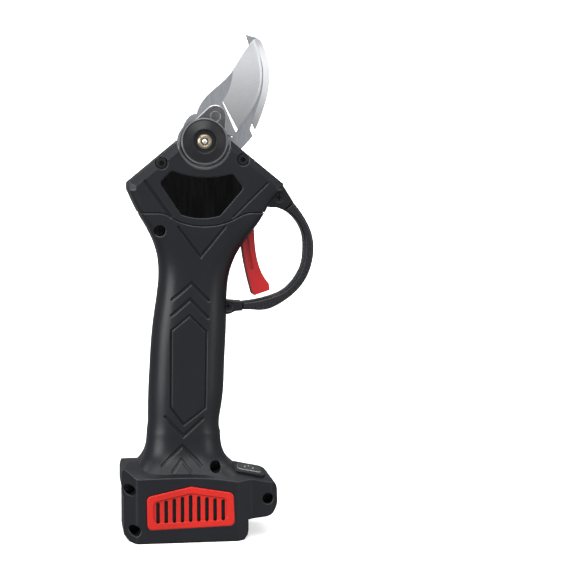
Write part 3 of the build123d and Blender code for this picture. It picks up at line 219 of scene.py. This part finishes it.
def marked_key(name, colour):
    """Grey plastic key whose sunk on/off mark and rim are filled with pale paint."""
    s = Shader(name)
    at = s.place(shift=-KEY_MIDDLE)
    level = s.add("ShaderNodeVectorMath", {0: at, 1: KEY_UP}, operation="DOT_PRODUCT").outputs["Value"]
    off = s.math("ABSOLUTE", s.math("SUBTRACT", level, KEY_MARK_LEVEL))
    speck = s.noise(900.0, 3.0, 0.7)
    cloud = s.noise(160.0, 3.0)
    paint = s.math("MULTIPLY", s.ramp(off, 0.18 * MM, 0.08 * MM), s.ramp(speck, 0.30, 0.5, 0.55, 1.0))
    shade = s.mix(s.ramp(cloud, 0.35, 0.68), tinted(colour, 0.85), tinted(colour, 1.2))
    # Painted highlight along the key's edges, partly wear.
    shade = s.mix(s.math("MULTIPLY", s.edge_wear_and_highlight(0.4 * MM), 0.5), shade, tinted(colour, 4.0))
    # Painted shade in the gap round the key and in its other recesses.
    shade = s.mix(s.sheltered(2.5 * MM), shade, tinted(colour, 0.1))
    shade = s.mix(paint, shade, (0.55, 0.55, 0.56))
    normal = s.bump(speck, 0.02 * MM, 0.8, s.rounded(0.3 * MM))
    return s.finish(shade, s.ramp(speck, 0.3, 0.7, 0.30, 0.42), normal, Specular_IOR_Level=0.4)


def gloss_window(name, colour):
    """Polished black window with long faint polishing streaks and a little dust."""
    s = Shader(name)
    streak = s.noise(60.0, 3.0, 0.5, s.place(stretch=(7, 7, 0.9)))
    dust = s.noise(2400.0, 1.0, 0.5)
    smear = s.noise(45.0, 3.0)
    shade = s.mix(s.ramp(streak, 0.40, 0.72), tinted(colour, 0.7), tinted(colour, 2.2))
    shade = s.mix(s.ramp(dust, 0.72, 0.80, 0.0, 0.35), shade, (0.06, 0.06, 0.062))
    # Painted highlight along the window's edges.
    shade = s.mix(s.math("MULTIPLY", s.edge_wear_and_highlight(0.4 * MM), 0.8), shade, (0.07, 0.07, 0.075))
    roughness = s.math("ADD", s.ramp(smear, 0.35, 0.7, 0.10, 0.24), s.ramp(streak, 0.4, 0.7, 0.0, 0.08))
    normal = s.bump(smear, 0.0004, 0.10, s.rounded(0.25 * MM))
    return s.finish(shade, roughness, normal, Specular_IOR_Level=0.06)


def ground_steel(name, flat, ground):
    """Blade steel: greyer grained flats, and finely lined ground faces whose painted reflection is brighter
    towards the tip.
    """
    s = Shader(name)
    across = s.place(stretch=(0.12, 1, 1), turn=(0, math.radians(-28), 0))
    along = s.place(stretch=(1, 1, 0.10), turn=(0, math.radians(-40), 0))
    lines = s.noise(2600.0, 3.0, 0.7, across)
    scratch = s.noise(1500.0, 4.0, 0.75, along)
    cloud = s.noise(70.0, 3.0)
    facing = s.facing()
    is_flat = s.ramp(facing, 0.9965, 0.9990)
    edge_wear_and_highlight = s.edge_wear_and_highlight(0.14 * MM)
    dull = s.mix(s.ramp(scratch, 0.3, 0.7), tinted(flat, 0.82), tinted(flat, 1.10))
    bright = s.mix(s.ramp(lines, 0.3, 0.7), tinted(ground, 0.95), tinted(ground, 1.07))
    bright = s.mix(s.ramp(cloud, 0.30, 0.72, 0.0, 0.4), bright, tinted(ground, 0.95))
    # Painted reflection: the ground faces are painted bright near the tip and greyer towards the pivot.
    height = s.add("ShaderNodeSeparateXYZ", {0: s.place()}).outputs["Z"]
    bright = s.mix(s.ramp(height, BRIGHT_ABOVE, GREY_BELOW, 0.0, 0.85), bright, tinted(ground, 0.44))
    shade = s.mix(is_flat, bright, dull)
    # Painted highlight along the edges, partly real wear.
    shade = s.mix(s.math("MULTIPLY", edge_wear_and_highlight, 0.5), shade, (0.86, 0.86, 0.87))
    rough = s.math("ADD", s.ramp(is_flat, 0, 1, 0.30, 0.40), s.ramp(lines, 0.3, 0.7, -0.02, 0.03))
    rough = s.math("ADD", rough, s.ramp(cloud, 0.30, 0.72, -0.02, 0.02))
    normal = s.bump(scratch, 0.003 * MM, 0.7, s.rounded(0.18 * MM))
    normal = s.bump(lines, 0.003 * MM, 0.7, normal)
    return s.finish(shade, rough, normal, Metallic=1.0, Anisotropic=0.35)


def dark_plate(name, colour, edge):
    """Blackened steel, bright along its edges and chamfers, partly rubbed wear and partly painted highlight."""
    s = Shader(name)
    cloud = s.noise(160.0, 4.0, 0.65)
    grain = s.noise(2200.0, 3.0, 0.7, s.place(stretch=(0.3, 1, 1), turn=(0, math.radians(-50), 0)))
    # Edges and chamfers are painted bright: partly rubbed wear, partly painted highlight.
    chamfer = s.ramp(s.facing(), 0.97, 0.88)
    edge_wear_and_highlight = s.math("MAXIMUM", s.edge_wear_and_highlight(0.35 * MM), s.math("MULTIPLY", chamfer, 0.7))
    broken = s.math("MULTIPLY", edge_wear_and_highlight, s.ramp(s.noise(420.0, 3.0, 0.7), 0.32, 0.55, 0.45, 1.0))
    shade = s.mix(s.ramp(cloud, 0.35, 0.68), tinted(colour, 0.75), tinted(colour, 1.25))
    shade = s.mix(s.ramp(grain, 0.35, 0.75, 0.0, 0.35), shade, tinted(colour, 1.7))
    shade = s.mix(broken, shade, edge)
    rough = s.math("SUBTRACT", s.ramp(cloud, 0.3, 0.7, 0.36, 0.50), s.math("MULTIPLY", broken, 0.12))
    normal = s.bump(grain, 0.012 * MM, 0.8, s.rounded(0.25 * MM))
    return s.finish(shade, rough, normal, Metallic=0.9)


def turned_metal(name, colour, rough, turned=False, metallic=1.0, deep=2.0):
    """Bare metal: fine rings round the pivot axis where it is turned, else a fine grain along z."""
    s = Shader(name)
    cloud = s.noise(140.0, 4.0, 0.6)
    if turned:
        settings = {"W": s.math("MULTIPLY", s.from_pivot(), 900.0), "Scale": 6.0, "Detail": 3.0}
        rings = s.add("ShaderNodeTexNoise", settings, noise_dimensions="1D").outputs["Fac"]
    else:
        rings = s.noise(1800.0, 3.0, 0.7, s.place(stretch=(1, 1, 0.15)))
    edge_wear_and_highlight = s.edge_wear_and_highlight(0.2 * MM)
    shade = s.mix(s.ramp(rings, 0.3, 0.7), tinted(colour, 0.80), tinted(colour, 1.12))
    shade = s.mix(s.ramp(cloud, 0.4, 0.7, 0.0, 0.4), shade, tinted(colour, 0.7))
    # Painted highlight along the edges, partly wear.
    shade = s.mix(s.math("MULTIPLY", edge_wear_and_highlight, 0.5), shade, tinted(colour, 1.5))
    # Painted shade in recesses, reaching deep millimetres, so screws sunk in holes turn dark.
    shade = s.mix(s.sheltered(deep * MM), shade, tinted(colour, 0.10))
    roughness = s.ramp(cloud, 0.3, 0.7, rough - 0.05, rough + 0.07)
    roughness = s.math("ADD", roughness, s.ramp(rings, 0.3, 0.7, -0.03, 0.04))
    normal = s.bump(rings, 0.012 * MM, 0.8, s.rounded(0.15 * MM))
    return s.finish(shade, roughness, normal, Metallic=metallic)


def ringed_cap(name, colour):
    """Black pivot cap with soft moulded rings, a dusty grain, painted edge and rim highlights, and painted shade.
    """
    s = Shader(name)
    rings = s.math("SINE", s.math("MULTIPLY", s.from_pivot(), 9000.0))
    broken = s.noise(300.0, 3.0, 0.6)
    fine = s.noise(2400.0, 2.0, 0.6)
    streak = s.noise(34.0, 3.0, 0.6, s.place(stretch=(1.0, 1, 0.25)))
    edge_wear_and_highlight = s.edge_wear_and_highlight(0.5 * MM)
    shade = s.mix(s.ramp(streak, 0.35, 0.7), tinted(colour, 0.8), tinted(colour, 1.35))
    rubbed = s.math("MULTIPLY", s.ramp(rings, -1, 1), s.ramp(broken, 0.4, 0.7, 0.05, 0.30))
    shade = s.mix(rubbed, shade, tinted(colour, 1.9))
    # Painted highlight along the cap's edges, partly wear.
    shade = s.mix(s.math("MULTIPLY", edge_wear_and_highlight, 0.8), shade, tinted(colour, 6.0))
    # Painted shade in the cap's recesses.
    shade = s.mix(s.math("MULTIPLY", s.sheltered(3.0 * MM), 0.8), shade, tinted(colour, 0.1))
    # Painted highlight: a pale broken ring just inside the cap's rim.
    painted_rim_highlight = s.math("MULTIPLY", s.ring(CAP_RIM_RADIUS, 0.5 * MM), s.ramp(broken, 0.3, 0.6, 0.5, 0.9))
    shade = s.mix(painted_rim_highlight, shade, (0.17, 0.17, 0.18))
    roughness = s.ramp(broken, 0.3, 0.7, 0.28, 0.40)
    normal = s.bump(rings, 0.010 * MM, 0.6, s.rounded(0.5 * MM))
    normal = s.bump(fine, 0.02 * MM, 0.7, normal)
    return s.finish(shade, roughness, normal, Specular_IOR_Level=0.35)


def wound_copper(name, colour):
    """Enamelled winding wire: fine turns side by side."""
    s = Shader(name)
    settings = {"Vector": s.place(), "Scale": 900.0, "Distortion": 1.5, "Detail": 2.0}
    turns = s.add("ShaderNodeTexWave", settings, bands_direction="X").outputs["Fac"]
    cloud = s.noise(120.0, 3.0)
    shade = s.mix(s.ramp(turns, 0.1, 0.9), tinted(colour, 0.45), tinted(colour, 1.15))
    shade = s.mix(s.ramp(cloud, 0.4, 0.7, 0.0, 0.4), shade, tinted(colour, 0.7))
    return s.finish(shade, s.ramp(cloud, 0.3, 0.7, 0.22, 0.35), s.bump(turns, 0.1 * MM, 0.8), Metallic=0.9)


def circuit_board(name, colour):
    """Solder mask with paler copper tracks showing through it."""
    s = Shader(name)
    settings = {"Vector": s.place(), "Scale": 330.0}
    cells = s.add("ShaderNodeTexVoronoi", settings, feature="DISTANCE_TO_EDGE")
    tracks = s.ramp(cells.outputs["Distance"], 0.06, 0.10, 1.0, 0.0)
    cloud = s.noise(500.0, 2.0)
    shade = s.mix(s.math("MULTIPLY", tracks, 0.7), tinted(colour, 0.9), tinted(colour, 1.9))
    shade = s.mix(s.ramp(cloud, 0.4, 0.7, 0.0, 0.3), shade, tinted(colour, 0.7))
    normal = s.bump(tracks, 0.05 * MM, 0.6, s.rounded(0.1 * MM))
    return s.finish(shade, s.ramp(cloud, 0.3, 0.7, 0.22, 0.34), normal)


def rubbery(name, colour):
    """Silicone wire sleeve, soft and slightly dusty."""
    s = Shader(name)
    fine = s.noise(1800.0, 3.0, 0.6)
    cloud = s.noise(90.0, 3.0)
    shade = s.mix(s.ramp(cloud, 0.35, 0.7), tinted(colour, 0.75), tinted(colour, 1.25))
    shade = s.mix(s.ramp(fine, 0.55, 0.75, 0.0, 0.3), shade, tinted(colour, 1.8))
    return s.finish(shade, s.ramp(fine, 0.3, 0.7, 0.45, 0.6), s.bump(fine, 0.02 * MM, 0.7))


def make_plastics():
    """Materials of the plastic parts and the wires, by slot."""
    return {
        "housing_black": moulded(
            "housing_black", (0.0096, 0.0103, 0.0138), 0.34, edge=3.0, radius=0.8, specular=0.27,
            pale=(0.120, 0.122, 0.130), rim=CASE_RIM_RADIUS),
        "guard_black": moulded(
            "guard_black", (0.0098, 0.0104, 0.0140), 0.28, grain=0.008, edge=2.5, radius=0.9, specular=0.40,
            pale=(0.130, 0.132, 0.140)),
        "insert_red": moulded(
            "insert_red", (0.60, 0.017, 0.011), 0.42, grain=0.006, edge=1.15, radius=0.45, specular=0.3,
            recess_shade=0.30, start=0.88, pale=(0.80, 0.07, 0.055)),
        "trigger_red": moulded(
            "trigger_red", (0.44, 0.008, 0.011), 0.36, grain=0.005, edge=1.3, radius=0.4, specular=0.45,
            recess_shade=0.4, pale=(0.62, 0.07, 0.07)),
        "component_black": moulded("component_black", (0.020, 0.020, 0.022), 0.42, radius=0.15),
        "key_grey": marked_key("key_grey", (0.032, 0.033, 0.036)),
        "window_black": gloss_window("window_black", (0.0018, 0.0018, 0.0021)),
        "cap_black": ringed_cap("cap_black", (0.0085, 0.0088, 0.0110)),
        "board_green": circuit_board("board_green", (0.015, 0.13, 0.05)),
        "wire_red": rubbery("wire_red", (0.42, 0.015, 0.015)),
        "wire_black": rubbery("wire_black", (0.018, 0.018, 0.02)),
    }


def make_metals():
    """Materials of the metal parts, by slot."""
    return {
        "blade_steel": ground_steel("blade_steel", (0.37, 0.385, 0.41), (0.85, 0.86, 0.89)),
        "dark_steel": dark_plate("dark_steel", (0.12, 0.123, 0.130), (0.70, 0.71, 0.73)),
        "gear_steel": turned_metal("gear_steel", (0.46, 0.46, 0.47), 0.30),
        "screw_black": turned_metal("screw_black", (0.040, 0.040, 0.044), 0.24, metallic=0.9, deep=6.0),
        "bright_steel": turned_metal("bright_steel", (0.82, 0.82, 0.84), 0.14, deep=0.5),
        "brass": turned_metal("brass", (0.66, 0.56, 0.38), 0.26, turned=True),
        "bronze": turned_metal("bronze", (0.50, 0.32, 0.15), 0.38),
        "cast_case": turned_metal("cast_case", (0.42, 0.43, 0.45), 0.48),
        "motor_shell": turned_metal("motor_shell", (0.42, 0.43, 0.45), 0.30),
        "copper": wound_copper("copper", (0.72, 0.30, 0.14)),
    }


def dress(materials):
    """Gives each CAD node the finished material of its record slot."""
    slots = {row["node"]: row["material_slot"] for row in frame["record"]["subparts"]}
    for name, node in frame["nodes"].items():
        for slot in node.material_slots:
            slot.material = materials[slots[name]]
        if not node.material_slots:
            node.data.materials.append(materials[slots[name]])


# ------------------------------------------------------------------ studio
def stage_material():
    s = Shader("stage_white")
    cloud = s.noise(3.0, 2.0)
    shade = s.mix(s.ramp(cloud, 0.3, 0.7), (0.93, 0.93, 0.93), (0.95, 0.95, 0.95))
    s.put(s.main, "Emission Color", s.mix(s.ramp(cloud, 0.3, 0.7), (0.97, 0.97, 0.97), (1.0, 1.0, 1.0)))
    s.main.inputs["Emission Strength"].default_value = 0.55
    return s.finish(shade, s.ramp(cloud, 0.3, 0.7, 0.85, 0.9), s.bump(cloud, 0.001, 0.05))


def make_stage():
    """Pale floor that curves up into a backdrop behind the object."""
    turns = [math.radians(5 * step) for step in range(1, 19)]
    profile = [(FLOOR_FRONT, 0.0), (CURVE_FROM, 0.0)]
    profile += [(CURVE_FROM + CURVE_RADIUS * math.sin(a), CURVE_RADIUS * (1 - math.cos(a))) for a in turns]
    profile += [(CURVE_FROM + CURVE_RADIUS, BACKDROP_TOP)]
    verts = [(x, y, z - FLOOR_DROP) for y, z in profile for x in (-FLOOR_HALF_WIDTH, FLOOR_HALF_WIDTH)]
    faces = [(2 * i, 2 * i + 1, 2 * i + 3, 2 * i + 2) for i in range(len(profile) - 1)]
    mesh = bpy.data.meshes.new("floor")
    mesh.from_pydata(verts, [], faces)
    mesh.shade_smooth()
    floor = bpy.data.objects.new("floor", mesh)
    bpy.context.scene.collection.objects.link(floor)
    mesh.materials.append(stage_material())
    floor.visible_glossy = False
    floor.visible_diffuse = False


def area_light(name, at, target, size, power):
    """Rectangular soft box that looks at its target."""
    data = bpy.data.lights.new(name, "AREA")
    data.shape = "RECTANGLE"
    data.size, data.size_y = size
    data.energy = power
    light = bpy.data.objects.new(name, data)
    light.location = at
    light.rotation_euler = (Vector(target) - Vector(at)).to_track_quat("-Z", "Y").to_euler()
    bpy.context.scene.collection.objects.link(light)


def make_world():
    """Studio walls: bright in front of the object, dark behind it."""
    world = bpy.data.worlds.new("studio")
    bpy.context.scene.world = world
    world.use_nodes = True
    nodes, links = world.node_tree.nodes, world.node_tree.links
    split = nodes.new("ShaderNodeSeparateXYZ")
    links.new(nodes.new("ShaderNodeTexCoord").outputs["Generated"], split.inputs[0])
    level = nodes.new("ShaderNodeMapRange")
    links.new(split.outputs["Y"], level.inputs["Value"])
    for key, value in (("From Min", -0.30), ("From Max", 0.45), ("To Min", 0.66), ("To Max", 0.18)):
        level.inputs[key].default_value = value
    links.new(level.outputs["Result"], nodes["Background"].inputs["Strength"])
    nodes["Background"].inputs["Color"].default_value = (1.0, 1.0, 1.0, 1.0)


def make_lights():
    """Soft boxes left, right, in front, above, and one that lights the backdrop."""
    area_light("key_left", (-1.20, -0.42, 0.45), MIDDLE, (0.8, 1.0), 14.5)
    area_light("fill_right", (1.05, -0.62, 0.36), MIDDLE, (0.45, 0.8), 3.6)
    area_light("front_high", (-0.15, -0.75, 0.95), (0.02, 0, 0.22), (0.8, 0.5), 6)
    area_light("top", (0.0, -0.05, 1.2), MIDDLE, (1.2, 0.6), 7.5)
    area_light("back_wash", (0.0, 1.0, 1.6), (0, 2.0, 0.6), (3.0, 1.0), 60)


def make_camera():
    """Camera a little to the left of the object and above its middle."""
    data = bpy.data.cameras.new("camera")
    data.sensor_width = 36.0
    data.lens = 98.72
    data.clip_start, data.clip_end = 0.05, 20.0
    camera = bpy.data.objects.new("camera", data)
    camera.location = CAMERA_AT
    camera.rotation_euler = (CAMERA_AIM - CAMERA_AT).to_track_quat("-Z", "Y").to_euler()
    bpy.context.scene.collection.objects.link(camera)
    bpy.context.scene.camera = camera


dress({**make_plastics(), **make_metals()})
make_stage()
make_world()
make_lights()
make_camera()
bpy.context.scene.view_settings.view_transform = "Standard"
